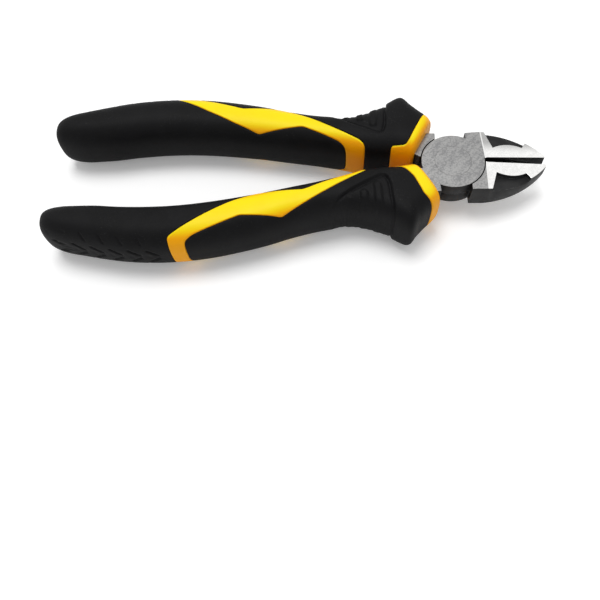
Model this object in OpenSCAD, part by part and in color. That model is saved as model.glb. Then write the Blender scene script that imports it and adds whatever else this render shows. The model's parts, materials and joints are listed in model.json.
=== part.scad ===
// Diagonal side cutter with a round lap joint, one flush face and two-colour moulded grips.
// The tool lies flat with its flush face up, the jaw tips toward +X and the jaws a little open.

/* [Head] */
// Thickness of the ground head at the joint
head_t = 8.2; // [7.8:0.2:9.6]
// Radius of the two round lap discs
disc_r = 10; // [9.4:0.1:10.4]
// Length of the jaws from the pivot axis to the tip
jaw_l = 29.6; // [27:0.2:33]
// Half width of the closed jaws at their shoulders
jaw_w = 10.7; // [10.4:0.1:11.6]
// Half width of the blunt tip of each jaw
tip_w = 1; // [0.6:0.1:1.6]
// Fall of the ground jaw faces from the joint to the tip
jaw_fall = 2; // [1:0.1:2.4]
// Slope of the cutting bevel below the flush face
bevel_a = 30; // [27:1:36]
// Depth of the cutting edges below the flush face
edge_land = 3; // [2.4:0.1:3.2]
// Lean of the land between the flush face and the cutting edge
lean_a = 4; // [2:0.5:6]
// Gap of each jaw to the middle at the root of its cutting edge
root_gap = 0.3; // [0.1:0.05:0.4]
// Width of the rim left round the bevel hollow
rim_w = 1.2; // [0.8:0.1:1.8]
// Depth of the finger-shaped relief on the flush face
relief_d = 1.4; // [0.8:0.1:1.8]
// Angle between the two cutting edges as the tool lies
rest_gape = 4.2; // [2:0.1:8]

/* [Pivot] */
// Radius of the rivet shank
rivet_r = 3.5; // [3:0.1:4]
// Radius of the flush rivet heads
rivet_head_r = 5.8; // [5:0.1:6.4]
// Height of the tapered rivet heads
rivet_head_h = 1.8; // [1.2:0.1:2.4]
// Running clearance round the rivet
run_clear = 0.04; // [0.02:0.01:0.08]
// Clearance between the two lap faces
lap_clear = 0.04; // [0.02:0.01:0.1]
// Clearance round the discs at the shoulders
shoulder_clear = 0.3; // [0.2:0.05:0.5]

/* [Grips] */
// Distance from the pivot axis to the rear end of a closed grip
grip_end = 131.8; // [121:0.2:143]
// Width over the closed grips where they are widest
grip_w = 51.4; // [48:0.2:55]
// Length of the rounded rear end of a grip
end_l = 9.8; // [8:0.2:11]
// Thickness of the grips over the hand
grip_t = 19; // [18:0.2:19.6]
// Thickness of the thumb guards
guard_t = 20.2; // [19.8:0.2:22]
// Wall of the soft black mouldings
soft_wall = 1.8; // [1.4:0.1:2.2]
// Width of the groove between the black and the yellow mouldings
seam = 0.3; // [0.1:0.05:0.5]
// Gap under the soft mouldings, filled by the bond
bond = 0.04; // [0.02:0.01:0.1]
// Depth of the ribbed thumb pad
pad_d = 0.6; // [0.3:0.1:0.9]
// Width of each pad rib
rib_w = 2.2; // [1.6:0.1:2.6]
// Thickness of the steel tangs inside the grips
tang_t = 6; // [5:0.2:7]
// Clearance of the tangs in the grip cores
tang_clear = 0.06; // [0.04:0.01:0.12]

/* [Hidden] */
$fn = 96;
edge_clear = 0.03;
half_t = head_t / 2;
// start of the sloped jaw faces, on the cutting line and at the outer edge
face_x = 1.04 * disc_r;
slope_x = 0.99 * disc_r;
face_turn = atan((face_x - slope_x) / jaw_w);
edge_turn = atan((root_gap - edge_clear) / (jaw_l - face_x));
edge_tilt = atan(jaw_fall / (jaw_l - face_x));
face_tilt = atan(tan(edge_tilt) / cos(face_turn));
// straight shoulder and the arc from it to the tip
shoulder_x = 0.53 * disc_r;
jaw_x = 0.92 * disc_r;
jaw_dx = jaw_l - jaw_x;
jaw_dy = jaw_w - tip_w;
jaw_r = (jaw_dx * jaw_dx + jaw_dy * jaw_dy) / (2 * jaw_dy);
// relief on the flush face, set by its place along the jaw
relief_x = 0.608 * jaw_l;
relief_w = 0.145 * jaw_l;
relief_y = 0.5 * jaw_w;
relief_r = 0.96 * jaw_w;

// Grip stations, rear to front, in the closed position of the upper grip:
// outer edge x and y, inner edge x and y, share of the guard thickness, squareness
STATIONS = [
  [-122, 20.6, -122, 7.7, 0, 2.5],
  [-114, 22.8, -114, 8, 0, 2.5],
  [-106, 24.5, -106, 9, 0, 2.5],
  [-97, 25.5, -97, 9.7, 0, 2.5],
  [-88, 25.7, -88, 9.9, 0, 2.5],
  [-79, 25.1, -79, 9.5, 0, 2.5],
  [-70, 23.7, -70, 8.7, 0, 2.5],
  [-61, 21.8, -61, 7.6, 0, 2.5],
  [-52, 19.3, -52, 6.3, 0, 2.5],
  [-43, 17.4, -43, 5.1, 0.1, 2.6],
  [-35, 16.8, -35, 3.6, 0.3, 2.8],
  [-28.5, 18.1, -29, 2.3, 0.7, 3.1],
  [-21.6, 21.2, -23.5, 2, 0.95, 3.4],
  [-16.2, 24.4, -18.8, 1.9, 1, 3.5],
  [-12.9, 21.3, -16.6, 1.8, 0.8, 3.5],
  [-9.7, 18.3, -14.4, 1.6, 0.4, 3.4],
  [-5.7, 15.4, -12.2, 1.4, 0, 3.2],
];
// The tables are drawn for discs of 10 mm and for the default length and width of the grips. In
// front of the waist they follow the discs, behind it the length of the grips.
waist = STATIONS[9];
widest = STATIONS[4];
front_k = disc_r / 10;
rear_k = (grip_end - end_l + waist[0] * front_k) / (waist[0] - STATIONS[0][0]);
side_k = grip_w / 2 / widest[1];
function stretch(x) = waist[0] * front_k + (x - waist[0]) * (x > waist[0] ? front_k : rear_k);
function plan(path) = [for (p = path) [stretch(p[0]), p[1] * side_k]];
// Shank of the upper grip, as thick as the head, and the tang behind it: x, y and half width
SHANK = [
  [-5.2, 6.4, 4.6],
  [-10.5, 6.5, 4.6],
  [-13, 7.4, 4],
  [-15.5, 7.7, 3.9],
];
TANG = [
  [-8, 6.5, 4],
  [-13, 7.4, 3.5],
  [-20, 8.2, 3.5],
  [-35, 10, 3.4],
  [-52, 12.8, 3.4],
  [-70, 16.2, 3.4],
  [-88, 17.7, 3.2],
  [-104, 17, 2.6],
];
// Edges of the yellow band and of the front collar in plan, outer side first
BAND_REAR = plan([
  [-90.4, 40], [-90.4, 23.4], [-79.3, 17], [-70.7, 12.5], [-62.6, 9.1],
  [-48.2, 10.3], [-36, 5.1], [-34, 3.6], [-34, -10],
]);
BAND_FRONT = plan([
  [-85.4, 40], [-85.4, 24.6], [-82.7, 23.2], [-75.9, 20.9], [-68, 18.1],
  [-55.3, 18.8], [-47.3, 14.7], [-38.8, 10], [-29.6, 4.9], [-28.1, 3.5], [-28.1, -10],
]);
COLLAR = plan([
  [-7.2, 40], [-7.6, 19.5], [-9.6, 15], [-12.2, 8.5],
  [-14.4, 4.6], [-18.9, 4.2], [-19.8, 3], [-19.8, -10],
]);
REAR_CORNERS = plan([[-160, -10], [-160, 40]]);
FRONT_CORNERS = plan([[5, -10], [5, 40]]);
PAD = plan([
  [-39, 40], [-39, 16], [-23.2, 7.2], [-21.6, 7], [-20.2, 8.6],
  [-19.2, 14.5], [-18.8, 22], [-18.8, 40],
]);
RIBS = [-36.6, -32.3, -28, -23.7];

function row(i) = let(s = STATIONS[i])
  [stretch(s[0]), s[1] * side_k, stretch(s[2]), s[3] * side_k,
    (grip_t + (guard_t - grip_t) * s[4]) / 2, s[5]];
last = len(STATIONS) - 1;
function spline(a, b, c, d, t) = (2 * b + (c - a) * t + (2 * a - 5 * b + 4 * c - d) * t * t
  + (3 * b - a - 3 * c + d) * t * t * t) / 2;
function row_at(i, t) = spline(i == 0 ? 2 * row(0) - row(1) : row(i - 1), row(i), row(i + 1),
  row(min(i + 2, last)), t);
// rounded rear end: the edges run on at a slope while the section shrinks along a quarter turn
function end_row(a, depth) = let(r = row(0), f = pow(cos(a), 0.4), d = (end_l - depth) * sin(a),
    o = r[1] - 0.22 * d, i = r[3] - 0.03 * d, y = (o + i) / 2, w = (o - i) / 2 * f)
  [r[0] - d, y + w, r[0] - d, y - w, r[4] * f, r[5]];
function rows(steps, depth) = concat(
  [for (a = [84, 66, 46, 24]) end_row(a, depth)],
  [for (i = [0 : last - 1], k = [0 : steps - 1]) row_at(i, k / steps)],
  [row_at(last - 1, 1 - depth / 4)]);
function pw(v, e) = sign(v) * pow(abs(v), e);
// one closed section, drawn in from the outer surface by the given depth
function ring(r, depth, count) = let(o = [r[0], r[1]], i = [r[2], r[3]], m = (o + i) / 2,
    h = (o - i) / 2, k = max(0.05, 1 - depth / norm(h)), b = max(0.3, r[4] - depth), e = 2 / r[5])
  [for (j = [0 : count - 1]) let(a = 360 * j / count, c = pw(cos(a), e) * k)
    [m[0] + h[0] * c, m[1] + h[1] * c, b * pw(sin(a), e)]];
function quads(n, count) = [for (i = [0 : n - 2], j = [0 : count - 1], h = [0, 1])
  let(a = i * count + j, b = i * count + (j + 1) % count)
  h == 0 ? [a, b + count, b] : [a, a + count, b + count]];

// the farthest points of the opened grips and the lowest point set the frame
half_gape = rest_gape / 2;
function turned(p, a) = [p[0] * cos(a) - p[1] * sin(a), p[0] * sin(a) + p[1] * cos(a)];
back_x = min([for (r = rows(2, 0), p = ring(r, 0, 28)) turned(p, -half_gape)[0]]);
tip_x = max(turned([jaw_l, tip_w], half_gape)[0], turned([jaw_l, edge_clear], half_gape)[0]);
mid_x = (back_x + tip_x) / 2;
high_z = max([for (r = rows(2, 0)) r[4]]);

module place(angle) {
  translate([-mid_x, 0, high_z])
    rotate([0, 0, angle])
      children();
}

// half a holds the upper jaw and the lower grip, half b the other two
module place_a() {
  place(half_gape)
    rotate([180, 0, 0])
      children();
}

module place_b() {
  place(-half_gape)
    children();
}

// grip surface as a closed loft
module skin(depth, steps, count) {
  list = rows(steps, depth);
  points = [for (r = list) each ring(r, depth, count)];
  n = len(list);
  first_cap = [for (j = [0 : count - 1]) j];
  last_cap = [for (j = [count - 1 : -1 : 0]) (n - 1) * count + j];
  polyhedron(points, concat(quads(n, count), [first_cap], [last_cap]));
}

function back(path) = [for (i = [len(path) - 1 : -1 : 0]) path[i]];

// a line of the given width along a path
module stroke(path, width) {
  for (i = [0 : len(path) - 2])
    hull()
      for (p = [path[i], path[i + 1]])
        translate(p)
          circle(d = width, $fn = 8);
}

// an area of the plan, less the groove along the edges of the mouldings, cut through the grip
module moulded(outline) {
  translate([0, 0, -guard_t])
    linear_extrude(2 * guard_t)
      difference() {
        polygon(outline);
        stroke(BAND_REAR, seam);
        stroke(BAND_FRONT, seam);
        stroke(COLLAR, seam);
      }
}

// the hard core under the soft mouldings
module core_form(gap) {
  skin(soft_wall - gap, 1, 20);
}

module grip_core() {
  color("gold")
    difference() {
      union() {
        core_form(0);
        intersection() {
          skin(0, 2, 28);
          union() {
            moulded(concat(BAND_REAR, back(BAND_FRONT)));
            moulded(concat(COLLAR, FRONT_CORNERS));
          }
        }
      }
      tang(tang_clear);
    }
}

module rear_sleeve() {
  color("dimgray")
    difference() {
      intersection() {
        skin(0, 2, 28);
        moulded(concat(BAND_REAR, REAR_CORNERS));
      }
      core_form(bond);
    }
}

module thumb_guard() {
  color("dimgray")
    difference() {
      intersection() {
        skin(0, 2, 28);
        moulded(concat(BAND_FRONT, back(COLLAR)));
      }
      core_form(bond);
      pad_cut();
    }
}

// sunk thumb pad with its ribs left standing
module pad_cut() {
  difference() {
    translate([0, 0, -guard_t])
      linear_extrude(2 * guard_t)
        difference() {
          polygon(PAD);
          for (x = RIBS)
            translate([stretch(x) - rib_w / 2, 0])
              square([rib_w, grip_w]);
        }
    skin(pad_d, 2, 28);
  }
}

// plan of a bar along rows of x, y and half width
function bar(list, grow) = concat(
  [for (t = list) [stretch(t[0]), (t[1] + t[2]) * side_k + grow]],
  [for (t = back(list)) [stretch(t[0]), (t[1] - t[2]) * side_k - grow]]);

// tang and shank of the upper grip, the shank as thick as the head
module tang(grow) {
  tail = TANG[len(TANG) - 1];
  translate([0, 0, -tang_t / 2 - grow])
    linear_extrude(tang_t + 2 * grow) {
      polygon(bar(TANG, grow));
      translate([stretch(tail[0]), tail[1] * side_k])
        circle(r = tail[2] * side_k + grow);
    }
  translate([0, 0, -half_t - grow])
    linear_extrude(head_t + 2 * grow)
      translate([-grow, 0])
        polygon(bar(SHANK, grow));
}

// plan of a closed jaw, its inner side moved past the cutting line by the given amount
module jaw_plan(inset, past) {
  intersection() {
    union() {
      translate([jaw_x, jaw_w - jaw_r])
        circle(r = jaw_r - inset);
      translate([shoulder_x, 0])
        square([jaw_x - shoulder_x, jaw_w - inset]);
    }
    polygon([[shoulder_x, root_gap - past], [face_x, root_gap - past],
      [jaw_l - inset, edge_clear - past], [jaw_l - inset, jaw_w], [shoulder_x, jaw_w]]);
  }
}

// everything above the ground jaw face on the upper side
module above_face(lift) {
  translate([face_x, 0, half_t + lift])
    rotate([0, 0, face_turn])
      rotate([0, face_tilt, 0])
        translate([0, -jaw_l, 0])
          cube([2 * jaw_l, 2 * jaw_l, jaw_l]);
}

// bevel hollow that leaves the cutting edge at the upper, flush face
module bevel_hollow() {
  intersection() {
    translate([face_x, 0, half_t - edge_land])
      rotate([0, edge_tilt, 0])
        rotate([-bevel_a, 0, 0])
          translate([-jaw_l, -2 * jaw_l, -2 * jaw_l])
            cube([3 * jaw_l, 4 * jaw_l, 2 * jaw_l]);
    translate([0, 0, -half_t - 1])
      linear_extrude(head_t + 2)
        difference() {
          jaw_plan(rim_w, 1);
          circle(r = disc_r + shoulder_clear + rim_w / 2);
          rotate(-15)
            translate([-disc_r, -disc_r])
              square([2 * disc_r + rim_w / 2, 4 * disc_r]);
        }
  }
}

// leaning land from the flush face down to the cutting edge
module edge_face() {
  translate([face_x, root_gap - edge_clear, half_t - edge_land])
    rotate([0, edge_tilt, -edge_turn])
      rotate([-lean_a, 0, 0])
        translate([0, -jaw_l, 0])
          cube([2 * jaw_l, jaw_l, jaw_l]);
}

// relief on the flush face, open to the outer edge of the jaw
module flush_relief() {
  translate([face_x, 0, half_t])
    rotate([0, edge_tilt, 0])
      translate([-face_x, 0, -relief_d])
        linear_extrude(2 * head_t)
          difference() {
            polygon([[relief_x - 1.62 * relief_w, 2.3 * relief_y], [relief_x - relief_w, 0.6 * relief_y],
              [relief_x + relief_w, 0.6 * relief_y], [relief_x + 2.2 * relief_w, 1.9 * relief_y]]);
            translate([relief_x, relief_y - relief_r])
              circle(r = relief_r);
          }
}

module rivet_form(grow) {
  cylinder(r = rivet_r + grow, h = head_t, center = true);
  for (m = [0, 1])
    mirror([0, 0, m])
      translate([0, 0, half_t - rivet_head_h])
        cylinder(r1 = rivet_r + grow, r2 = rivet_head_r + grow, h = rivet_head_h);
}

// one half in the closed position, its jaw at y < 0, its disc below and its tang at y > 0
module forged_half(flush_up) {
  difference() {
    union() {
      translate([0, 0, -half_t])
        cylinder(r = disc_r, h = half_t);
      mirror([0, 1, 0])
        translate([0, 0, -half_t])
          linear_extrude(head_t)
            jaw_plan(0, 0);
      tang(0);
    }
    translate([0, 0, -lap_clear / 2])
      cylinder(r = disc_r + shoulder_clear, h = head_t);
    rivet_form(run_clear);
    mirror([0, 1, 0])
      mirror([0, 0, flush_up ? 0 : 1]) {
        above_face(0);
        mirror([0, 0, 1])
          above_face(0);
        bevel_hollow();
        edge_face();
        flush_relief();
      }
  }
}

module forged_half_a() {
  color("silver")
    place_a()
      forged_half(false);
}

module forged_half_b() {
  color("silver")
    place_b()
      forged_half(true);
}

module pivot_rivet() {
  color("lightgray")
    place(0)
      rivet_form(0);
}

module grip_core_a() {
  place_a() grip_core();
}

module grip_core_b() {
  place_b() grip_core();
}

module rear_sleeve_a() {
  place_a() rear_sleeve();
}

module rear_sleeve_b() {
  place_b() rear_sleeve();
}

module thumb_guard_a() {
  place_a() thumb_guard();
}

module thumb_guard_b() {
  place_b() thumb_guard();
}

forged_half_a();
forged_half_b();
pivot_rivet();
grip_core_a();
grip_core_b();
rear_sleeve_a();
rear_sleeve_b();
thumb_guard_a();
thumb_guard_b();
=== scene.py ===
"""A diagonal side cutter with a riveted lap joint and two-colour moulded grips.

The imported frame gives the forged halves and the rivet. The six grip mouldings are rebuilt here as
fine meshes with their rounded seams, thumb pads and tread. Lengths are millimetres in each class
and metres in the meshes.
"""

from __future__ import annotations

import json
import logging
import math
from collections.abc import Callable, Mapping, Sequence
from dataclasses import dataclass, field
from enum import Enum

import bpy
import numpy as np
from mathutils import Matrix, Vector

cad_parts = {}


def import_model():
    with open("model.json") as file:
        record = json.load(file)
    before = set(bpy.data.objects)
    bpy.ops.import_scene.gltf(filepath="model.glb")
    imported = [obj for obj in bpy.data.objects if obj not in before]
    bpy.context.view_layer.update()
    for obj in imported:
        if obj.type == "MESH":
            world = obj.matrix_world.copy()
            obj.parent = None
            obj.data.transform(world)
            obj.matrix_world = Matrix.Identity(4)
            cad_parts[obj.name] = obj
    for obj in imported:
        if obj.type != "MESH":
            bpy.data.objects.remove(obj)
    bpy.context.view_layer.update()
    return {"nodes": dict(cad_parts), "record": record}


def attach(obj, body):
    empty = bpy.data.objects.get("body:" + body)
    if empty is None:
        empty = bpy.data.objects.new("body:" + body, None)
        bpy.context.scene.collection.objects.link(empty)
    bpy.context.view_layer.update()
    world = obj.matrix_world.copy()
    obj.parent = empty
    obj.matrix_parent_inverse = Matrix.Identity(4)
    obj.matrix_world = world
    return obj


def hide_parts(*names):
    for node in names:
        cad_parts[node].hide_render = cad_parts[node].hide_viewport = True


LOG = logging.getLogger("side_cutter")
MM = 0.001
GRAIN_HEIGHTS = (0.3, 1.1)

Measure = Callable[[np.ndarray], np.ndarray]
Path = Sequence[tuple[float, float]]
Colour = tuple[float, float, float]
Place = tuple[float, float, float]
Span = tuple[float, float]
Mesh = tuple[np.ndarray, np.ndarray]
Node = bpy.types.Node
Socket = bpy.types.NodeSocket
Material = bpy.types.Material
Given = Mapping[str, Socket]
Results = dict[str, Socket]


class Half(Enum):
    """The two halves of the tool, each with its jaw, disc and grip."""

    A = "a"
    B = "b"

    @property
    def body(self) -> str:
        """Name of the moving body that carries this half."""
        return f"half_{self.value}"


class Slot(Enum):
    """Material slots of the mouldings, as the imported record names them."""

    YELLOW = "yellow_core"
    BLACK = "black_soft"


# Shader building blocks


class Board:
    """Adds and links the nodes of one shader tree."""

    def __init__(self, tree: bpy.types.NodeTree) -> None:
        """Keeps the node tree of a material, a group or the world."""
        self.tree = tree

    def node(self, kind: str, inputs: dict | None = None, **settings: object) -> Node:
        """Adds one node.

        Args:
            kind: Blender's identifier of the node type.
            inputs: Socket name or index to a value or to a socket that is linked to it.
            **settings: Properties of the node itself.

        Returns:
            The new node.
        """
        made = self.tree.nodes.new(kind)
        for name, value in settings.items():
            setattr(made, name, value)
        for key, value in (inputs or {}).items():
            self.put(made.inputs[key], value)
        return made

    def put(self, socket: Socket, value: object) -> None:
        """Links a socket to an input, or sets the input's own value.

        Args:
            socket: The input socket.
            value: An output socket, a number or a tuple.
        """
        if isinstance(value, Socket):
            self.tree.links.new(value, socket)
        elif isinstance(value, tuple) and len(value) == 3 and socket.type == "RGBA":
            socket.default_value = (*value, 1.0)
        else:
            socket.default_value = value

    def math(self, operation: str, *values: object, clamp: bool = False) -> Socket:
        """Adds a Math node of up to three numbers or sockets, and gives its result."""
        made = self.node("ShaderNodeMath", dict(enumerate(values)), operation=operation, use_clamp=clamp)
        return made.outputs[0]

    def vector(self, operation: str, *values: object) -> Socket:
        """Adds a Vector Math node, and gives its vector, or the number of a dot product or a length."""
        made = self.node("ShaderNodeVectorMath", dict(enumerate(values)), operation=operation)
        return made.outputs["Value" if operation in ("DOT_PRODUCT", "LENGTH") else "Vector"]

    def spot(self) -> Socket:
        """Place on the object, in metres."""
        return self.node("ShaderNodeTexCoord").outputs["Object"]

    def facing(self, axis: str) -> Socket:
        """One part, X, Y or Z, of the object's own normal."""
        normal = self.node("ShaderNodeTexCoord").outputs["Normal"]
        return self.node("ShaderNodeSeparateXYZ", {0: normal}).outputs[axis]

    def noise(self, vector: object, scale: object, detail: float) -> Socket:
        """Adds noise with a number of features per metre, and gives its value, around 0.5."""
        made = self.node("ShaderNodeTexNoise", {"Vector": vector, "Scale": scale, "Detail": detail})
        return made.outputs[0]

    def remap(self, value: object, low: object, high: object, start: object = 0.0,
              end: object = 1.0) -> Socket:
        """Maps one range of a value to another, eased at both ends.

        Args:
            value: What is mapped.
            low: Value that gives start.
            high: Value that gives end.
            start: Result at low.
            end: Result at high.

        Returns:
            The mapped value, kept within the new range.
        """
        made = self.node(
            "ShaderNodeMapRange",
            {"Value": value, "From Min": low, "From Max": high, "To Min": start, "To Max": end},
            interpolation_type="SMOOTHSTEP",
        )
        return made.outputs["Result"]

    def mix(self, share: object, first: object, second: object) -> Socket:
        """Mixes two numbers by the share of the second one."""
        made = self.node("ShaderNodeMix", {0: share, 2: first, 3: second}, data_type="FLOAT")
        return made.outputs[0]

    def blend(self, share: object, first: object, second: object) -> Socket:
        """Mixes two colours by the share of the second one."""
        made = self.node("ShaderNodeMix", {0: share, 6: first, 7: second}, data_type="RGBA")
        return made.outputs[2]


Fill = Callable[[Board, Given], Results]


@dataclass(frozen=True)
class Effect:
    """A surface effect that materials share: a node group that is built once."""

    fill: Fill
    inputs: dict[str, float]

    def tree(self) -> bpy.types.NodeTree:
        """Builds the node group, which is named as the function that fills it.

        Returns:
            The node group.
        """
        tree = bpy.data.node_groups.new(self.fill.__name__, "ShaderNodeTree")
        for label, value in self.inputs.items():
            socket = tree.interface.new_socket(label, in_out="INPUT", socket_type="NodeSocketFloat")
            socket.default_value = value
        board = Board(tree)
        results = self.fill(board, board.node("NodeGroupInput").outputs)
        for label in results:
            tree.interface.new_socket(label, in_out="OUTPUT", socket_type="NodeSocketFloat")
        board.node("NodeGroupOutput", results)
        return tree

    def place(self, board: Board, **values: float) -> Node:
        """Puts the effect into a material.

        Args:
            board: The material's board.
            **values: Values of the group's inputs, by their names in small letters.

        Returns:
            The group node.
        """
        tree = bpy.data.node_groups.get(self.fill.__name__) or self.tree()
        inputs = {label.capitalize(): value for label, value in values.items()}
        return board.node("ShaderNodeGroup", inputs, node_tree=tree)


def moulded_grain(board: Board, given: Given) -> Results:
    """Fine moulded grain with broad cloudy patches.

    Args:
        board: The group's board.
        given: Size, the number of grains per metre, and Patch, of patches per metre.

    Returns:
        Height of the grain, and Patch, which is 1 in the patches.
    """
    spot = board.spot()
    fine = board.noise(spot, given["Size"], 3.0)
    cell = board.node("ShaderNodeTexVoronoi", {"Vector": spot, "Scale": given["Size"]})
    height = board.math("MULTIPLY_ADD", cell.outputs["Distance"], 0.5, fine)
    cloud = board.noise(spot, given["Patch"], 4.0)
    return {"Height": height, "Patch": board.remap(cloud, 0.35, 0.65)}


def dust_specks(board: Board, given: Given) -> Results:
    """Pale specks that lie thicker in places.

    Args:
        board: The group's board.
        given: Size, the number of specks per metre, and Amount, from 0 to 1.

    Returns:
        Mask of the specks.
    """
    spot = board.spot()
    speck = board.remap(board.noise(spot, given["Size"], 1.0), 0.62, 0.74)
    cloud = board.remap(board.noise(spot, 160.0, 3.0), 0.4, 0.7)
    lying = board.remap(board.facing("Z"), -0.2, 0.9)
    share = board.math("MULTIPLY", board.math("MULTIPLY", speck, cloud), lying)
    return {"Mask": board.math("MULTIPLY", share, given["Amount"], clamp=True)}


def edge_wear(board: Board, given: Given) -> Results:
    """Rubbed edges, broken up by noise.

    Args:
        board: The group's board.
        given: Radius of the edges in metres, and Amount, from 0 to 1.

    Returns:
        Mask of the rubbed places.
    """
    here = board.node("ShaderNodeNewGeometry").outputs["Normal"]
    soft = board.node("ShaderNodeBevel", {"Radius": given["Radius"]}, samples=4)
    edge = board.remap(board.vector("DOT_PRODUCT", here, soft.outputs[0]), 0.99, 0.86)
    broken = board.remap(board.noise(board.spot(), 900.0, 4.0), 0.38, 0.6)
    share = board.math("MULTIPLY", edge, broken)
    return {"Mask": board.math("MULTIPLY", share, given["Amount"], clamp=True)}


def grinding_marks(board: Board, given: Given) -> Results:
    """Grinding marks: long fine lines in one direction, with short strokes across them.

    Args:
        board: The group's board.
        given: Angle of the lines in radians, and Size, the number of lines per metre.

    Returns:
        Height of the marks, and the Tone of the steel between dull and bright.
    """
    spot = board.spot()
    around = {"Vector": spot, "Angle": given["Angle"]}
    turned = board.node("ShaderNodeVectorRotate", around, rotation_type="Z_AXIS").outputs[0]
    lines = board.noise(board.vector("MULTIPLY", turned, (0.05, 1.0, 0.3)), given["Size"], 3.0)
    strokes = board.vector("MULTIPLY", turned, (0.5, 0.16, 0.3))
    short = board.noise(strokes, board.math("MULTIPLY", given["Size"], 0.3), 2.0)
    cloud = board.noise(spot, 1700.0, 6.0)
    height = board.math("MULTIPLY_ADD", short, 0.6, lines)
    tone = board.math("MULTIPLY_ADD", short, 0.5, board.math("MULTIPLY", cloud, 0.7))
    return {"Height": height, "Tone": board.math("MULTIPLY_ADD", lines, 0.3, tone)}


GRAIN = Effect(moulded_grain, {"Size": 4000.0, "Patch": 90.0})
DUST = Effect(dust_specks, {"Size": 2500.0, "Amount": 0.3})
WEAR = Effect(edge_wear, {"Radius": 0.0003, "Amount": 0.6})
GRINDING = Effect(grinding_marks, {"Angle": 0.0, "Size": 5000.0})


# Finishes


@dataclass(frozen=True)
class Moulded:
    """A moulded plastic with a cloudy tone, fine grain, rubbed edges (on the black a painted highlight), dust
    and optional painted side shade.
    """

    name: str
    base: Colour
    cloudy: Colour
    cloud_share: float
    # tone of rubbed edges: wear, and on the black rubber a painted highlight along them
    wear_and_edge_glint: Colour
    wear_r: float
    wear_amount: float
    dust: Colour
    dust_size: float
    dust_amount: float
    grain_size: float
    patch_size: float
    matt: Span
    specular: float
    relief: float
    relief_d: float
    # painted shade: the darker tone of faces turned to the side, and the normal's z up to which it is full
    deep: Colour | None = None
    side_shade_until: float = 0.6

    def material(self) -> Material:
        """Builds the material.

        Returns:
            The material.
        """
        made, board, shader = new_material(self.name)
        grain = GRAIN.place(board, size=self.grain_size, patch=self.patch_size)
        dust = DUST.place(board, size=self.dust_size, amount=self.dust_amount)
        wear = WEAR.place(board, radius=self.wear_r, amount=self.wear_amount)
        side_shaded: object = self.base
        # painted shade: faces that turn to the side take the darker tone
        if self.deep:
            flat = board.remap(board.math("ABSOLUTE", board.facing("Z")), self.side_shade_until, 1.0)
            side_shaded = board.blend(flat, self.deep, self.base)
        share = board.math("MULTIPLY", grain.outputs["Patch"], self.cloud_share)
        clouded = board.blend(share, side_shaded, self.cloudy)
        # rubbed edges: wear, and on the black rubber a painted highlight
        rubbed = board.blend(wear.outputs["Mask"], clouded, self.wear_and_edge_glint)
        board.put(shader.inputs["Base Color"], board.blend(dust.outputs["Mask"], rubbed, self.dust))
        matt = board.remap(grain.outputs["Height"], *GRAIN_HEIGHTS, *self.matt)
        board.put(shader.inputs["Roughness"], matt)
        board.put(shader.inputs["Specular IOR Level"], self.specular)
        bump(board, shader, grain.outputs["Height"], self.relief, self.relief_d)
        return made


SOFT_BLACK = Moulded(
    name="soft_black",
    base=(0.001, 0.001, 0.0013),
    cloudy=(0.006, 0.006, 0.0068),
    cloud_share=0.35,
    # painted highlight: the black rubber's edges are painted lighter, standing in for glints along them
    wear_and_edge_glint=(0.04, 0.04, 0.042),
    wear_r=0.0006,
    wear_amount=0.7,
    dust=(0.03, 0.03, 0.032),
    dust_size=2300.0,
    dust_amount=0.5,
    grain_size=4200.0,
    patch_size=120.0,
    matt=(0.5, 0.68),
    specular=0.12,
    relief=0.25,
    relief_d=0.0001,
)

HARD_YELLOW = Moulded(
    name="hard_yellow",
    base=(0.97, 0.79, 0.004),
    cloudy=(1.0, 0.42, 0.001),
    cloud_share=0.12,
    wear_and_edge_glint=(0.97, 0.8, 0.02),
    wear_r=0.0005,
    wear_amount=0.35,
    dust=(0.5, 0.4, 0.2),
    dust_size=1800.0,
    dust_amount=0.12,
    grain_size=3000.0,
    patch_size=70.0,
    matt=(0.38, 0.5),
    specular=0.14,
    relief=0.08,
    relief_d=0.00006,
    # painted shade: the sides turn amber
    deep=(1.0, 0.42, 0.001),
)


@dataclass(frozen=True)
class GroundFinish:
    """What all ground steel shares: two tones along fine grinding marks."""

    bright: Colour = (0.34, 0.338, 0.333)
    dull: Colour = (0.19, 0.19, 0.192)
    marks_angle: float = 0.7
    marks_size: float = 5200.0
    marks_strength: float = 0.12
    marks_d: float = 0.00005
    tone_ends: Span = (0.58, 0.92)

    def marked(self, board: Board) -> tuple[Node, Socket]:
        """Places the grinding marks, and gives their node and the share of the bright tone."""
        marks = GRINDING.place(board, angle=self.marks_angle, size=self.marks_size)
        return marks, board.remap(marks.outputs["Tone"], *self.tone_ends)


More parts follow.
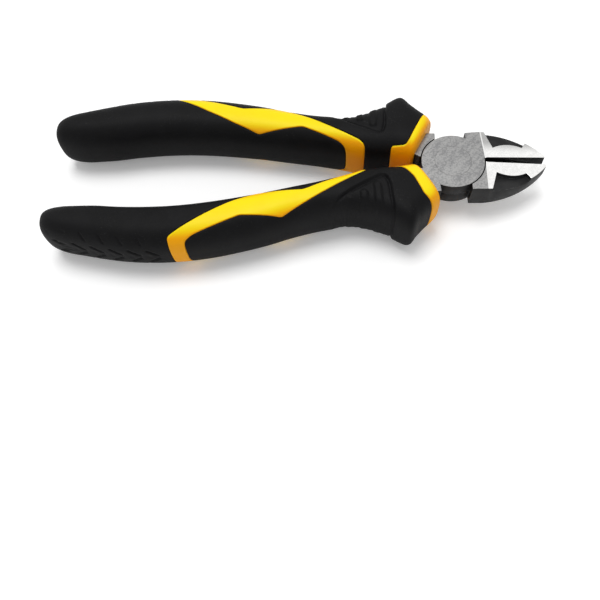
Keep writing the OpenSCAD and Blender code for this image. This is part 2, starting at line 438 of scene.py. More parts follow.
@dataclass(frozen=True)
class GroundSteel(GroundFinish):
    """Forged steel: ground bright on its faces, black oxide on its sides and in its hollows."""

    fresh: Colour = (0.97, 0.965, 0.95)
    black: Colour = (0.006, 0.006, 0.0065)
    scuffed: Colour = (0.05, 0.05, 0.05)
    scuff_share: float = 0.3
    shine_marks: float = 0.16
    wear_r: float = 0.0003
    wear_amount: float = 0.8
    grain_size: float = 3500.0
    patch_size: float = 200.0
    oxide_matt: Span = (0.4, 0.6)
    # roughness of the flats and of the sloped faces
    polish: Span = (0.4, 0.24)
    half_t: float = 4.1
    face_x: float = 10.4
    face_turn: float = math.radians(2.675)
    face_tilt: float = math.radians(5.953)
    # metres off the face and the normal's z between which the ground share comes in
    ground_off: Span = (-0.0006, -0.0003)
    ground_level: Span = (0.72, 0.9)
    slope_start: Span = (-0.0001, 0.0003)
    # painted shade: metres off the middle between which the upper jaw's bright slope falls back to the flats'
    # tone, and what is left of it
    upper_slope_shade: Span = (0.0025, 0.0075)
    upper_slope_shade_left: float = 0.25
    # painted highlight: a bright line where the slopes start, its width off that line in metres and its share
    # on it
    ridge_highlight_w: Span = (0.00005, 0.0003)
    ridge_highlight_share: float = 0.8

    def material(self, pivot: Vector) -> Material:
        """Builds the material.

        Args:
            pivot: The pivot's middle in metres.

        Returns:
            The material.
        """
        made, board, shader = new_material("ground_steel")
        ground, slope, ridge = self.ground_shares(board, pivot)
        marks, tone = self.marked(board)
        wear = WEAR.place(board, radius=self.wear_r, amount=self.wear_amount)
        grain = GRAIN.place(board, size=self.grain_size, patch=self.patch_size)
        flat = board.blend(tone, self.dull, self.bright)
        shine = board.blend(board.math("MULTIPLY", tone, self.shine_marks), self.fresh, self.bright)
        # painted highlight on the ridge where the slopes start, over the slopes and flats
        steel = board.blend(ridge, board.blend(slope, flat, shine), self.fresh)
        scuffs = board.math("MULTIPLY", grain.outputs["Patch"], self.scuff_share)
        oxide = board.blend(scuffs, self.black, self.scuffed)
        rubbed = board.blend(wear.outputs["Mask"], oxide, self.dull)
        board.put(shader.inputs["Base Color"], board.blend(ground, rubbed, steel))
        board.put(shader.inputs["Metallic"], ground)
        shader.inputs["Specular IOR Level"].default_value = 0.2
        matt = board.remap(grain.outputs["Height"], *GRAIN_HEIGHTS, *self.oxide_matt)
        polish = board.remap(slope, 0.0, 1.0, *self.polish)
        sheen = board.math("MULTIPLY_ADD", tone, -0.08, polish)
        board.put(shader.inputs["Roughness"], board.mix(ground, matt, sheen))
        height = board.mix(ground, grain.outputs["Height"], marks.outputs["Height"])
        bump(board, shader, height, self.marks_strength, self.marks_d)
        return made

    def ground_shares(self, board: Board, pivot: Vector) -> tuple[Socket, ...]:
        """Finds the ground faces by their height over the middle plane and their slope.

        Args:
            board: The material's board.
            pivot: The pivot's middle in metres.

        Returns:
            Three shares: 1 on all ground faces, 1 on the sloped jaw faces, where the upper jaw's outer
            part falls back to the tone of the flats as painted shade, and 1 on the ridge where the slopes
            start, which gets a painted highlight.
        """
        axes = board.node("ShaderNodeSeparateXYZ", {0: board.vector("SUBTRACT", board.spot(), tuple(pivot))})
        side = board.math("ABSOLUTE", axes.outputs["Y"])
        run = board.math("SUBTRACT", axes.outputs["X"], self.face_x * MM)
        along = board.math("MULTIPLY", run, math.cos(self.face_turn))
        past = board.math("MULTIPLY_ADD", side, math.sin(self.face_turn), along)
        fall = board.math("MULTIPLY", board.math("MAXIMUM", past, 0.0), math.tan(self.face_tilt))
        face = board.math("SUBTRACT", self.half_t * MM, fall)
        proud = board.math("SUBTRACT", board.math("ABSOLUTE", axes.outputs["Z"]), face)
        high = board.remap(proud, *self.ground_off)
        level = board.remap(board.math("ABSOLUTE", board.facing("Z")), *self.ground_level)
        slope = board.remap(past, *self.slope_start)
        # painted shade: the upper jaw's slope falls back toward its outer side
        outward = board.remap(axes.outputs["Y"], *self.upper_slope_shade, 1.0, self.upper_slope_shade_left)
        # painted highlight along the ridge
        ridge = board.remap(board.math("ABSOLUTE", past), *self.ridge_highlight_w, self.ridge_highlight_share, 0.0)
        return board.math("MULTIPLY", high, level), board.math("MULTIPLY", slope, outward), ridge


@dataclass(frozen=True)
class FlushRivet(GroundFinish):
    """The ends of the rivet, ground with the joint faces."""

    # painted shade: a dark ring on the seam round the rivet
    seam: Colour = (0.12, 0.12, 0.115)
    seam_r: float = 5.72
    # painted shade: metres off the seam between which its dark ring fades out, and its share on the seam
    seam_shade_w: Span = (0.00002, 0.00012)
    seam_shade_share: float = 0.5
    polish: Span = (0.42, 0.3)

    def material(self, pivot: Vector) -> Material:
        """Builds the material.

        Args:
            pivot: The pivot's middle in metres.

        Returns:
            The material.
        """
        made, board, shader = new_material("flush_rivet")
        marks, tone = self.marked(board)
        steel = board.blend(tone, self.dull, self.bright)
        spot = board.vector("SUBTRACT", board.spot(), tuple(pivot))
        radius = board.vector("LENGTH", board.vector("MULTIPLY", spot, (1.0, 1.0, 0.0)))
        off = board.math("ABSOLUTE", board.math("SUBTRACT", radius, self.seam_r * MM))
        # painted shade on the seam round the rivet
        ring = board.remap(off, *self.seam_shade_w, self.seam_shade_share, 0.0)
        board.put(shader.inputs["Base Color"], board.blend(ring, steel, self.seam))
        shader.inputs["Metallic"].default_value = 1.0
        board.put(shader.inputs["Roughness"], board.remap(marks.outputs["Tone"], 0.5, 1.0, *self.polish))
        bump(board, shader, marks.outputs["Height"], self.marks_strength, self.marks_d)
        return made


def new_material(name: str) -> tuple[Material, Board, Node]:
    """Makes an empty node material.

    Args:
        name: The material's name.

    Returns:
        The material, its board and its Principled BSDF.
    """
    made = bpy.data.materials.new(name)
    made.use_nodes = True
    shader = made.node_tree.nodes["Principled BSDF"]
    return made, Board(made.node_tree), shader


def bump(board: Board, shader: Node, height: object, strength: float, depth: float) -> None:
    """Bumps a shader's normal by a height of about 0 to 1, with the depth of the relief in metres."""
    made = board.node("ShaderNodeBump", {"Strength": strength, "Distance": depth, "Height": height})
    board.put(shader.inputs["Normal"], made.outputs[0])


# Meshes on the skin of a grip


def rounded(path: Path, radius: float, steps: int = 5) -> np.ndarray:
    """Rounds the corners of a path.

    Args:
        path: Corner points.
        radius: Length cut off each leg of a corner, at most 0.45 of the leg.
        steps: Points on each corner's curve.

    Returns:
        The rounded path, one row per point.
    """
    points = np.array(path, float)
    made = [points[0]]
    for before, corner, after in zip(points, points[1:], points[2:]):
        legs = []
        for end in (before, after):
            leg = end - corner
            length = float(np.linalg.norm(leg))
            legs.append(corner + leg / length * min(radius, 0.45 * length))
        for t in np.linspace(0, 1, steps):
            made.append((1 - t) ** 2 * legs[0] + 2 * t * (1 - t) * corner + t * t * legs[1])
    made.append(points[-1])
    return np.array(made)


def path_distance(points: np.ndarray, path: np.ndarray) -> np.ndarray:
    """Plan distance of points to a path.

    Args:
        points: Points, with x and y first.
        path: Rows of x and y.

    Returns:
        One distance for each point.
    """
    best = np.full(len(points), np.inf)
    for a, b in zip(path, path[1:]):
        leg = b - a
        t = np.clip(((points[:, :2] - a) @ leg) / (leg @ leg), 0, 1)
        gap = points[:, :2] - a - t[:, None] * leg
        best = np.minimum(best, np.hypot(gap[:, 0], gap[:, 1]))
    return best


def inside(points: np.ndarray, outline: np.ndarray) -> np.ndarray:
    """Tells which points lie inside an outline in plan.

    Args:
        points: Points, with x and y first.
        outline: Corners of a closed outline.

    Returns:
        One truth value for each point.
    """
    x, y = points[:, 0], points[:, 1]
    odd = np.zeros(len(points), bool)
    for (ax, ay), (bx, by) in zip(outline, np.roll(outline, -1, axis=0)):
        if ay != by:
            crosses = (ay > y) != (by > y)
            odd ^= crosses & (x < (bx - ax) * (y - ay) / (by - ay) + ax)
    return odd


def eased(value: np.ndarray) -> np.ndarray:
    """Smooth step from 0 to 1 over the same range."""
    t = np.clip(value, 0, 1)
    return t * t * (3 - 2 * t)


def vertex_normals(points: np.ndarray, faces: np.ndarray) -> np.ndarray:
    """Finds area-weighted normals.

    Args:
        points: Points of a mesh.
        faces: Its triangles.

    Returns:
        One unit normal for each point.
    """
    corner = points[faces]
    flat = np.cross(corner[:, 1] - corner[:, 0], corner[:, 2] - corner[:, 0])
    normals = np.zeros_like(points)
    for column in range(3):
        np.add.at(normals, faces[:, column], flat)
    return normals / np.maximum(np.linalg.norm(normals, axis=1, keepdims=True), 1e-20)


@dataclass
class Patch:
    """A piece of triangulated skin with the outward normals of the whole form."""

    points: np.ndarray
    normals: np.ndarray
    faces: np.ndarray

    def split(self, measure: Measure, level: float, slack: float = 0.008) -> Patch:
        """Cuts the triangles along a line of equal measure.

        Args:
            measure: Gives a value for each point.
            level: The value on the line.
            slack: Points this close to the line count as on it.

        Returns:
            The patch with an edge along the whole line.
        """
        value = measure(self.points) - level
        value[np.abs(value) < slack] = 0
        side = np.sign(value).astype(int)
        corner = side[self.faces]
        mixed = (corner.max(axis=1) > 0) & (corner.min(axis=1) < 0)
        if not mixed.any():
            return self
        faces, corner = self.faces[mixed], corner[mixed]
        first = np.where((corner == 0).any(axis=1), np.argmax(corner == 0, axis=1),
                         np.argmax(corner == -np.sign(corner.sum(axis=1))[:, None], axis=1))
        order = (first[:, None] + np.arange(3)) % 3
        faces = np.take_along_axis(faces, order, axis=1)
        on_line = side[faces[:, 0]] == 0
        cuts = [faces[on_line][:, [1, 2]], faces[~on_line][:, [0, 1]], faces[~on_line][:, [0, 2]]]
        keys, where = np.unique(np.sort(np.vstack(cuts), axis=1), axis=0, return_inverse=True)
        t = (value[keys[:, 0]] / (value[keys[:, 0]] - value[keys[:, 1]]))[:, None]
        new_points = self.points[keys[:, 0]] * (1 - t) + self.points[keys[:, 1]] * t
        new_normals = self.normals[keys[:, 0]] * (1 - t) + self.normals[keys[:, 1]] * t
        new_normals /= np.linalg.norm(new_normals, axis=1, keepdims=True)
        where = where.reshape(-1) + len(self.points)
        n, m = len(cuts[0]), len(cuts[1])
        mid, ab, ac = where[:n], where[n:n + m], where[n + m:]
        a, b, c = faces[on_line].T
        halves = [np.stack([a, b, mid], 1), np.stack([a, mid, c], 1)]
        a, b, c = faces[~on_line].T
        thirds = [np.stack([a, ab, ac], 1), np.stack([ab, b, c], 1), np.stack([ab, c, ac], 1)]
        return Patch(
            np.vstack([self.points, new_points]),
            np.vstack([self.normals, new_normals]),
            np.vstack([self.faces[~mixed], *halves, *thirds]),
        )

    def kept(self, measure: Measure, level: float) -> Patch:
        """Cuts the patch along a line and keeps the side with the larger values.

        Args:
            measure: Gives a value for each point.
            level: The value on the line.

        Returns:
            The smaller patch.
        """
        cut = self.split(measure, level)
        middle = measure(cut.points[cut.faces].mean(axis=1))
        faces = cut.faces[middle > level]
        used, flat = np.unique(faces, return_inverse=True)
        return Patch(cut.points[used], cut.normals[used], flat.reshape(-1, 3))

    def rim(self) -> np.ndarray:
        """Finds the edges that only one triangle uses.

        Returns:
            Pairs of points, in the direction of that triangle.
        """
        edges = self.faces[:, [0, 1, 1, 2, 2, 0]].reshape(-1, 2)
        _, where, count = np.unique(np.sort(edges, axis=1), axis=0, return_inverse=True, return_counts=True)
        return edges[count[where.reshape(-1)] == 1]

    def lowered(self, drop: np.ndarray) -> np.ndarray:
        """Points moved into the form along their normals."""
        return self.points - self.normals * drop[:, None]

    def shell(self, outer: np.ndarray, inner: np.ndarray) -> Mesh:
        """Makes a closed wall of the patch.

        Args:
            outer: Depth of the outer side at each point.
            inner: Depth of the inner side at each point.

        Returns:
            Points and triangles.
        """
        count = len(self.points)
        a, b = self.rim().T
        walls = [np.stack([b, a, a + count], 1), np.stack([b, a + count, b + count], 1)]
        faces = np.vstack([self.faces, self.faces[:, ::-1] + count, *walls])
        return np.vstack([self.lowered(outer), self.lowered(inner)]), faces


@dataclass(frozen=True)
class GripForm:
    """Outer form of one grip: closed tool, pivot at the origin, the grip that lies at y > 0."""

    # rear to front: outer edge x and y, inner edge x and y, share of guard thickness, squareness
    stations: tuple[tuple[float, ...], ...] = (
        (-122, 20.6, -122, 7.7, 0, 2.5), (-114, 22.8, -114, 8, 0, 2.5), (-106, 24.5, -106, 9, 0, 2.5),
        (-97, 25.5, -97, 9.7, 0, 2.5), (-88, 25.7, -88, 9.9, 0, 2.5), (-79, 25.1, -79, 9.5, 0, 2.5),
        (-70, 23.7, -70, 8.7, 0, 2.5), (-61, 21.8, -61, 7.6, 0, 2.5), (-52, 19.3, -52, 6.3, 0, 2.5),
        (-43, 17.4, -43, 5.1, 0.1, 2.6), (-35, 16.8, -35, 3.6, 0.3, 2.8), (-28.5, 18.1, -29, 2.3, 0.7, 3.1),
        (-21.6, 21.2, -23.5, 2, 0.95, 3.4), (-16.2, 24.4, -18.8, 1.9, 1, 3.5),
        (-12.9, 21.3, -16.6, 1.8, 0.8, 3.5), (-9.7, 18.3, -14.6, 1.6, 0.4, 3.4),
        (-5.7, 15.4, -12.8, 1.4, 0, 3.2),
    )
    grip_t: float = 19.0
    guard_t: float = 20.2
    end_l: float = 9.8
    # how far the rear end's outer and inner edges draw in, for each millimetre of its length
    end_lean: Span = (0.22, 0.03)
    front_l: float = 2.6
    # how far the rounded front edge draws in, in width and in thickness
    front_drawn: Span = (0.8, 2.4)
    front_rows: int = 10
    # points on the fine curves along the grip and round a section, which give the even spacing
    fine_along: int = 2000
    fine_round: int = 1441

    def rows(self, place: np.ndarray) -> np.ndarray:
        """Sections between the stations, on a smooth curve through them.

        Args:
            place: Station numbers, fractions included.

        Returns:
            Rows of outer x and y, inner x and y, half thickness and squareness.
        """
        table = np.array(self.stations, float)
        table[:, 4] = (self.grip_t + (self.guard_t - self.grip_t) * table[:, 4]) / 2
        last = len(table) - 1
        i = np.clip(np.floor(place).astype(int), 0, last - 1)
        t = (place - i)[:, None]
        b = table[i]
        a = np.where((i == 0)[:, None], 2 * table[0] - table[1], table[i - 1])
        c, d = table[i + 1], table[np.minimum(i + 2, last)]
        return (2 * b + (c - a) * t + (2 * a - 5 * b + 4 * c - d) * t**2 + (3 * b - a - 3 * c + d) * t**3) / 2

    def even_rows(self, step: float) -> np.ndarray:
        """Rounded rear end, evenly spaced sections and the rounded front edge.

        Args:
            step: Distance between sections.

        Returns:
            Rows as in rows().
        """
        last = len(self.stations) - 1
        fine = self.rows(np.linspace(0, last, self.fine_along))
        middle = (fine[:, 0:2] + fine[:, 2:4]) / 2
        way = np.concatenate([[0], np.cumsum(np.hypot(*np.diff(middle, axis=0).T))])
        straight = way[-1] - self.front_l
        bend = np.linspace(0, math.pi / 2, self.front_rows)[1:]
        turn = np.concatenate([np.zeros(int(straight / step)), bend])
        stops = straight + self.front_l * np.sin(turn)
        stops[turn == 0] = np.linspace(0, straight, int(straight / step))
        body = self.rows(np.interp(stops, way, np.linspace(0, last, self.fine_along)))
        drawn = 1 - np.cos(turn)
        half = (body[:, 0:2] - body[:, 2:4]) / 2
        pull = half / np.hypot(*half.T)[:, None] * self.front_drawn[0] * drawn[:, None]
        body[:, 0:2] -= pull
        body[:, 2:4] += pull
        body[:, 4] -= self.front_drawn[1] * drawn
        shares = np.linspace(0.04, 0.995, int(1.6 * self.end_l / step))
        rear = np.repeat(body[:1], len(shares), axis=0)
        reach = self.end_l * np.sqrt(1 - shares**5)
        outer, inner = body[0, 1] - self.end_lean[0] * reach, body[0, 3] - self.end_lean[1] * reach
        half, mid_y = (outer - inner) / 2, (outer + inner) / 2
        rear[:, 0] = rear[:, 2] = body[0, 0] - reach
        rear[:, 1], rear[:, 3] = mid_y + half * shares, mid_y - half * shares
        rear[:, 4] *= shares
        return np.vstack([rear, body])

    def skin(self, step: float, count: int) -> Patch:
        """Triangulates the whole form.

        Args:
            step: Distance between sections.
            count: Points round each section.

        Returns:
            The closed skin.
        """
        rows = self.even_rows(step)
        outer, inner = rows[:, 0:2], rows[:, 2:4]
        mid, half = (outer + inner) / 2, (outer - inner) / 2
        fine = np.linspace(0, 2 * math.pi, self.fine_round)
        wide = np.hypot(half[:, 0], half[:, 1])
        grid = []
        for row, m, h, w in zip(rows, mid, half, wide):
            power = 2 / row[5]
            c = np.sign(np.cos(fine)) * np.abs(np.cos(fine)) ** power
            s = np.sign(np.sin(fine)) * np.abs(np.sin(fine)) ** power
            way = np.concatenate([[0], np.cumsum(np.hypot(np.diff(c) * w, np.diff(s) * row[4]))])
            even = np.interp(np.arange(count) * way[-1] / count, way, np.arange(len(fine)))
            c, s = np.interp(even, np.arange(len(fine)), c), np.interp(even, np.arange(len(fine)), s)
            grid.append(np.column_stack([m[0] + h[0] * c, m[1] + h[1] * c, row[4] * s]))
        return self.closed(np.array(grid))

    def closed(self, grid: np.ndarray) -> Patch:
        """Joins rings of points and closes both ends.

        Args:
            grid: Ring by ring, the points of the skin.

        Returns:
            The closed skin with outward normals.
        """
        rings, count = grid.shape[:2]
        points = np.vstack([grid.reshape(-1, 3), grid[0].mean(axis=0), grid[-1].mean(axis=0)])
        i, j = np.meshgrid(np.arange(rings - 1), np.arange(count), indexing="ij")
        a, b = (i * count + j).ravel(), (i * count + (j + 1) % count).ravel()
        faces = [np.stack([a, b, b + count], 1), np.stack([a, b + count, a + count], 1)]
        k = np.arange(count)
        after = (k + 1) % count
        faces.append(np.stack([np.full(count, rings * count), after, k], 1))
        top = (rings - 1) * count
        faces.append(np.stack([np.full(count, rings * count + 1), top + k, top + after], 1))
        faces = np.vstack(faces)
        return Patch(points, vertex_normals(points, faces), faces)


@dataclass(frozen=True)
class DashRow:
    """A row of slanted dashes in the tread, each drawn by x along the grip and z off its middle plane."""

    first: float
    depth: float
    half_w: float
    dash: Path


@dataclass
class Grip:
    """One grip: a hard yellow core, a soft rear sleeve and a soft thumb guard."""

    half: Half
    pivot: Vector
    gape: float
    form: GripForm = field(default_factory=GripForm)
    wall: float = 1.8
    bond: float = 0.06
    seam: float = 0.02
    edge: float = 0.42
    # distance between the sections of each skin, and points round each section
    core_net: tuple[float, int] = (0.7, 112)
    rear_net: tuple[float, int] = (0.4, 136)
    guard_net: tuple[float, int] = (0.36, 150)
    # seams in plan, from the outer side of the grip to its inner side
    band_rear: Path = ((-90.4, 40), (-90.4, 23.4), (-79.3, 17), (-70.7, 12.5), (-62.6, 9.1), (-48.2, 10.3),
                       (-36, 5.1), (-34, 3.6), (-34, -10))
    band_front: Path = ((-85.4, 40), (-85.4, 24.6), (-82.7, 23.2), (-75.9, 20.9), (-68, 18.1), (-55.3, 18.8),
                        (-47.3, 14.7), (-38.8, 10), (-29.6, 4.9), (-28.1, 3.5), (-28.1, -10))
    band_round: float = 0.9
    # corners that close the plan in front of a seam
    plan_front: Path = ((60, -10), (60, 40))
    collar_slant_a: Path = ((-8.4, 40), (-8.4, 18.2), (-11.8, 14.8), (-14, 8.8), (-16.6, 4.6), (-17.5, 3.35))
    collar_slant_b: Path = ((-7.2, 40), (-7.4, 18), (-9.2, 15), (-11.6, 10.2), (-14.3, 4.6), (-15.3, 3.35))
    collar_step: Path = ((-19.4, 3.35), (-19.9, 2.6), (-19.9, -10))
    collar_round: float = 0.7
    pad: Path = ((-46, 40), (-46, 19.4), (-33, 11.2), (-24.4, 7), (-23.2, 6.7), (-21.9, 7.8),
                 (-21.3, 11), (-21.05, 17), (-20.8, 40))
    pad_round: float = 0.8
    pad_depth: float = 0.6
    # where the pad starts to sink in, and the length over which it does
    pad_start: Span = (-42, 6)
    pad_fade: float = 1.2
    groove_in: float = 0.4
    groove_w: float = 0.36
    groove_d: float = 0.6
    ribs: tuple[float, ...] = (-38.4, -34.1, -29.8, -25.5)
    rib_w: float = 2.2
    rib_foot: float = 0.15
    rib_flank: float = 0.4
    # the line in plan that the ribs start from, how far from it, and the furthest start
    rib_line: Path = ((-41, 16.4), (-24.4, 7))
    rib_inset: float = 3.2
    rib_reach: float = 15.2
    ripple_d: float = 0.14
    ripple_pitch: float = 2.15
    tread_pitch: float = 5.9
    tread_span: Span = (-129, -93)
    tread_ripple_d: float = 0.12
    tread_fade: float = 2.0
    tread_rows: tuple[DashRow, ...] = (
        DashRow(-125.4, 0.45, 0.46, ((-1.5, 3.1), (1.5, 0.9))),
        DashRow(-122.9, 0.3, 0.4, ((-0.4, 7.6), (0.4, 5.8))),
    )

    @property
    def collar(self) -> Path:
        """The rear edge of the collar, whose slanted part lies further back on grip a."""
        slant = self.collar_slant_a if self.half is Half.A else self.collar_slant_b
        return (*slant, *self.collar_step)

    def side_of(self, path: Path, radius: float, front: bool) -> Measure:
        """Makes the signed plan distance to a line across the grip.

        Args:
            path: The line, outer side first.
            radius: Rounding of its corners.
            front: Whether points toward the jaws count as positive.

        Returns:
            The measure.
        """
        line = rounded(path, radius)
        area = np.vstack([line, self.plan_front])

        def measure(points: np.ndarray) -> np.ndarray:
            """Signed distance of each point to the line."""
            sign = np.where(inside(points, area), 1.0, -1.0)
            return path_distance(points, line) * sign * (1 if front else -1)

        return measure

    def build(self, soft: Material, hard: Material) -> None:
        """Builds and dresses the three mouldings.

        Args:
            soft: The black rubber.
            hard: The yellow plastic.
        """
        name = self.half.value
        self.add(f"core_moulding_{name}", f"grip_core_{name}", Slot.YELLOW, hard, *self.core_mesh())
        self.add(f"rear_moulding_{name}", f"rear_sleeve_{name}", Slot.BLACK, soft, *self.rear_mesh())
        self.add(f"guard_moulding_{name}", f"thumb_guard_{name}", Slot.BLACK, soft, *self.guard_mesh())

    def edge_drop(self, gap: np.ndarray) -> np.ndarray:
        """Depth of a rounded edge at a distance from it."""
        short = np.clip(self.edge - gap, 0, self.edge)
        return self.edge - np.sqrt(np.maximum(self.edge**2 - short**2, 0))

    def edge_levels(self) -> list[float]:
        """Distances from an edge at which its rounding is cut."""
        return [self.edge * share for share in (1, 0.6, 0.32, 0.13, 0.03)]

    def core_mesh(self) -> Mesh:
        """Makes the core: flush at the band and the collar, drawn in under the soft mouldings.

        Returns:
            Points and triangles.
        """
        skin = self.form.skin(*self.core_net)
        rear = self.side_of(self.band_rear, self.band_round, True)
        front = self.side_of(self.band_front, self.band_round, False)
        collar = self.side_of(self.collar, self.collar_round, True)

        def shown(points: np.ndarray) -> np.ndarray:
            """Distance into the band or the collar, less than 0 outside them."""
            return np.maximum(np.minimum(rear(points), front(points)), collar(points))

        for level in [*self.edge_levels(), 0.0, -self.bond]:
            skin = skin.split(shown, level)
        gap = shown(skin.points)
        drop = np.where(gap < -self.bond / 2, self.wall, self.edge_drop(np.maximum(gap, 0)))
        return skin.lowered(drop), skin.faces

    def rear_mesh(self) -> Mesh:
        """Makes the rear sleeve with its tread."""
        gap = self.side_of(self.band_rear, self.band_round, False)
        return self.soft_mesh(self.rear_net, gap, self.tread, self.tread_fade)

    def guard_mesh(self) -> Mesh:
        """Makes the thumb guard with its ribbed pad.

        Returns:
            Points and triangles.
        """
        behind = self.side_of(self.band_front, self.band_round, True)
        ahead = self.side_of(self.collar, self.collar_round, False)

        def gap(points: np.ndarray) -> np.ndarray:
            """Distance from the nearer end of the guard."""
            return np.minimum(behind(points), ahead(points))

        return self.soft_mesh(self.guard_net, gap, self.thumb_pad, self.pad_fade)

    def soft_mesh(self, net: tuple[float, int], gap: Measure, relief: Callable[[Patch], np.ndarray],
                  fade: float) -> Mesh:
        """Makes a soft moulding with rounded edges.

        Args:
            net: Distance between the sections of its skin, and points round each section.
            gap: Distance into the moulding from its nearest edge.
            relief: Depth of what is sunk into it.
            fade: Distance from the edge at which the relief is as deep as it gets.

        Returns:
            Points and triangles.
        """
        skin = self.form.skin(*net).kept(gap, self.seam)
        for level in self.edge_levels():
            skin = skin.split(gap, level)
        near = gap(skin.points)
        drop = self.edge_drop(near) + relief(skin) * eased(near / fade)
        return skin.shell(drop, np.full(len(skin.points), self.wall - self.bond))

    def thumb_pad(self, skin: Patch) -> np.ndarray:
        """Depth of the sunk pad, its groove and the ribs that stand in it.

        Args:
            skin: The guard's skin.

        Returns:
            The depth at each point.
        """
        x, y = skin.points[:, 0], skin.points[:, 1]
        line = rounded(self.pad, self.pad_round)
        reach = path_distance(skin.points, line) * np.where(inside(skin.points, line), 1, -1)
        start, length = self.pad_start
        shown = eased((x - start) / length)
        sunk = self.pad_depth * eased((reach + 0.1) / 0.7) * shown
        groove = self.groove_d * np.exp(-(((reach - self.groove_in) / self.groove_w) ** 2)) * shown
        raised = np.zeros(len(x))
        for middle in self.ribs:
            top = min(np.interp(middle, *zip(*self.rib_line)) + self.rib_inset, self.rib_reach)
            off = np.hypot(x - middle, np.minimum(y - top, 0))
            raised = np.maximum(raised, eased((self.rib_w / 2 + self.rib_foot - off) / self.rib_flank))
        side = eased((skin.normals[:, 1] - 0.45) / 0.35)
        ripple = self.ripple_d * (0.5 + 0.5 * np.cos(x * 2 * math.pi / self.ripple_pitch)) * side
        lift = raised * self.pad_depth * shown * (1 - 0.85 * side) + ripple
        return sunk + groove - lift * eased(reach / 0.8)

    def tread(self, skin: Patch) -> np.ndarray:
        """Depth of the tread along the outer side of the rear sleeve: slanted dashes in rows.

        Args:
            skin: The sleeve's skin.

        Returns:
            The depth at each point.
        """
        x, z = skin.points[:, 0], np.abs(skin.points[:, 2])
        pitch = self.tread_pitch
        ripple = self.tread_ripple_d * (0.5 + 0.5 * np.cos(x * 4 * math.pi / pitch))
        depth = ripple * eased((1.6 - z) / 1.2)
        for row in self.tread_rows:
            along = (x - row.first + pitch / 2) % pitch - pitch / 2
            off = path_distance(np.column_stack([along, z]), np.array(row.dash))
            depth = np.maximum(depth, row.depth * eased((row.half_w + 0.12 - off) / 0.36))
        start, end = self.tread_span
        side = eased((skin.normals[:, 1] - 0.15) / 0.2)
        return depth * side * eased((x - start) / 1.5) * eased((end - x) / 1.5)

    def add(self, name: str, node: str, slot: Slot, finish: Material,
            points: np.ndarray, faces: np.ndarray) -> None:
        """Puts one moulding in its place on its body.

        Args:
            name: Name of the piece.
            node: CAD node that it stands for.
            slot: Its material slot; not used.
            finish: Its material.
            points: Points in the grip's own frame.
            faces: Triangles.
        """
        placed = points.copy()
        angle = math.radians(self.gape / 2)
        if self.half is Half.A:
            placed[:, 1:] *= -1
        else:
            angle = -angle
        turn = np.array(Matrix.Rotation(angle, 3, "Z"))
        placed = placed @ turn.T * MM + np.array(self.pivot)
        piece = mesh_object(name, placed, faces, finish)
        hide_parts(node)
        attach(piece, self.half.body)
        LOG.info("%s: %d points, rides on %s", name, len(points), self.half.body)


def linked(name: str, data: bpy.types.ID) -> bpy.types.Object:
    """Makes an object of a mesh, a lamp or a camera and links it to the scene.

    Args:
        name: The object's name.
        data: What it shows.

    Returns:
        The object.
    """
    made = bpy.data.objects.new(name, data)
    bpy.context.scene.collection.objects.link(made)
    return made


def mesh_object(name: str, points: np.ndarray, faces: np.ndarray,
                finish: Material) -> bpy.types.Object:
    """Makes a smooth mesh object with area-weighted normals.

    Args:
        name: The object's name.
        points: Points in metres.
        faces: Triangles.
        finish: Its material.

    Returns:
        The object, linked to the scene.
    """
    mesh = bpy.data.meshes.new(name)
    mesh.from_pydata(points.tolist(), [], faces.tolist())
    mesh.polygons.foreach_set("use_smooth", np.ones(len(faces), bool))
    mesh.normals_split_custom_set_from_vertices(vertex_normals(points, faces).tolist())
    mesh.materials.append(finish)
    return linked(name, mesh)


@dataclass
class Head:
    """The two forged halves and the rivet, which keep their CAD solids."""

    nodes: dict[str, bpy.types.Object]
    pivot: Vector
    bevel: float = 0.15
    bevel_from: float = math.radians(45)
    flat_within: float = math.radians(0.4)
    weld_gap: float = 1e-6

    def dress(self) -> None:
        """Gives the steel pieces their broken edges and finishes."""
        steel = GroundSteel().material(self.pivot)
        rivet = FlushRivet().material(self.pivot)
        for name, finish in (("forged_half_a", steel), ("forged_half_b", steel), ("pivot_rivet", rivet)):
            piece = self.nodes[name]
            weld = piece.modifiers.new("weld", "WELD")
            weld.merge_threshold = self.weld_gap
            plain = piece.modifiers.new("plain_faces", "DECIMATE")
            plain.decimate_type = "DISSOLVE"
            plain.angle_limit = self.flat_within
            if name != "pivot_rivet":
                edges = piece.modifiers.new("broken_edges", "BEVEL")
                edges.width = self.bevel * MM
                edges.segments = 2
                edges.limit_method = "ANGLE"
                edges.angle_limit = self.bevel_from
                edges.harden_normals = True
            if not piece.material_slots:
                piece.data.materials.append(finish)
            for slot in piece.material_slots:
                slot.material = finish
            LOG.info("%s: dressed", name)


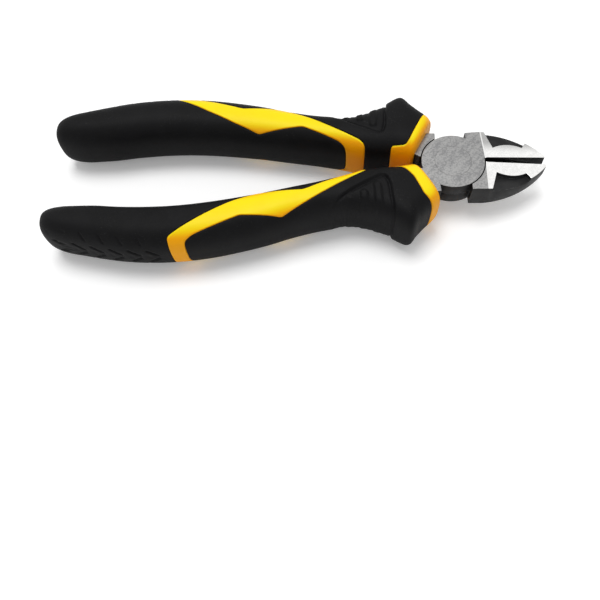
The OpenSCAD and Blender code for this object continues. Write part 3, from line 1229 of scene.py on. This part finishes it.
@dataclass
class Studio:
    """Floor, light and camera."""

    pivot: Vector
    lens: float = 37.12
    eye: Place = (-41.7, -121.39, 167.95)
    gaze: Place = (-0.0427, 0.4124, -0.91)
    roll_up: Place = (0.0303, 0.9109, 0.4114)
    floor_half: float = 6.0
    floor_tone: Colour = (0.96, 0.96, 0.96)
    white: Colour = (1.0, 1.0, 1.0)
    # distances in metres between which the floor fades to white, and its glow at both
    fade: Span = (0.2, 1.4)
    fade_glow: Span = (0.2, 1.0)
    # the brighter part of the sky: its direction, its edge as cosines, and the levels outside and in it
    sky_way: Place = (0.35, 0.6, 0.72)
    sky_edge: Span = (0.75, 0.98)
    sky_levels: Span = (0.42, 1.0)
    lamp_place: Place = (-0.14, 0.24, 1.17)
    lamp_size: Span = (0.55, 0.5)
    lamp_watts: float = 7.8

    def camera(self) -> None:
        """Sets the camera at the photograph's angle."""
        data = bpy.data.cameras.new("camera")
        data.lens = self.lens
        data.sensor_width = 36.0
        data.sensor_fit = "HORIZONTAL"
        data.clip_start = 0.01
        data.clip_end = 20.0
        made = linked("camera", data)
        back = -Vector(self.gaze).normalized()
        right = Vector(self.roll_up).cross(back).normalized()
        up = back.cross(right)
        turn = Matrix((right, up, back)).transposed().to_4x4()
        made.matrix_world = Matrix.Translation(self.pivot + Vector(self.eye) * MM) @ turn
        bpy.context.scene.camera = made

    def seen(self, board: Board) -> Socket:
        """Tells the rays that show the white background from those that light the tool.

        Args:
            board: The board of the floor or the world.

        Returns:
            1 for camera, glossy and transmission rays, and 0 for the others.
        """
        ray = board.node("ShaderNodeLightPath")
        shiny = board.math("MAXIMUM", ray.outputs["Is Glossy Ray"], ray.outputs["Is Transmission Ray"])
        return board.math("MAXIMUM", ray.outputs["Is Camera Ray"], shiny)

    def floor(self) -> None:
        """Lays a plain pale floor that fades to white far from the tool."""
        made, board, shader = new_material("pale_floor")
        glow = board.remap(board.vector("LENGTH", board.spot()), *self.fade, *self.fade_glow)
        board.put(shader.inputs["Emission Strength"], board.math("MULTIPLY", self.seen(board), glow))
        board.put(shader.inputs["Emission Color"], self.white)
        board.put(shader.inputs["Base Color"], self.floor_tone)
        shader.inputs["Roughness"].default_value = 0.9
        shader.inputs["Specular IOR Level"].default_value = 0.1
        far = self.floor_half
        mesh = bpy.data.meshes.new("floor")
        mesh.from_pydata([(-far, -far, 0), (far, -far, 0), (far, far, 0), (-far, far, 0)], [], [(0, 1, 2, 3)])
        mesh.materials.append(made)
        floor = linked("floor", mesh)

    def light(self) -> None:
        """Lights the tool softly from above, with a brighter part of the sky behind it."""
        world = bpy.data.worlds.new("studio")
        bpy.context.scene.world = world
        world.use_nodes = True
        board = Board(world.node_tree)
        base = world.node_tree.nodes["Background"]
        board.put(base.inputs["Color"], self.white)
        way = board.node("ShaderNodeTexCoord").outputs["Generated"]
        toward = board.vector("DOT_PRODUCT", way, self.sky_way)
        sky = board.remap(toward, *self.sky_edge, *self.sky_levels)
        board.put(base.inputs["Strength"], board.mix(self.seen(board), sky, 1.0))
        bpy.context.scene.view_settings.view_transform = "Standard"

    def lamp(self) -> None:
        """Hangs one soft lamp that faces the tool."""
        data = bpy.data.lights.new("overhead", "AREA")
        data.shape = "RECTANGLE"
        data.size, data.size_y = self.lamp_size
        data.energy = self.lamp_watts
        made = linked("overhead", data)
        made.location = self.lamp_place
        made.rotation_euler = Vector(self.lamp_place).to_track_quat("Z", "Y").to_euler()


def main() -> None:
    """Builds and dresses the whole tool."""
    logging.basicConfig(level=logging.INFO, format="%(name)s: %(message)s")
    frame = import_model()
    joint = frame["record"]["behaviour"]["joints"][0]
    pivot, gape = Vector(joint["pos_m"]), -joint["range_deg"][0]
    studio = Studio(pivot)
    studio.camera()
    studio.floor()
    studio.light()
    studio.lamp()
    Head(frame["nodes"], pivot).dress()
    soft, hard = SOFT_BLACK.material(), HARD_YELLOW.material()
    for half in Half:
        Grip(half, pivot, gape).build(soft, hard)


if __name__ == "__main__":
    main()
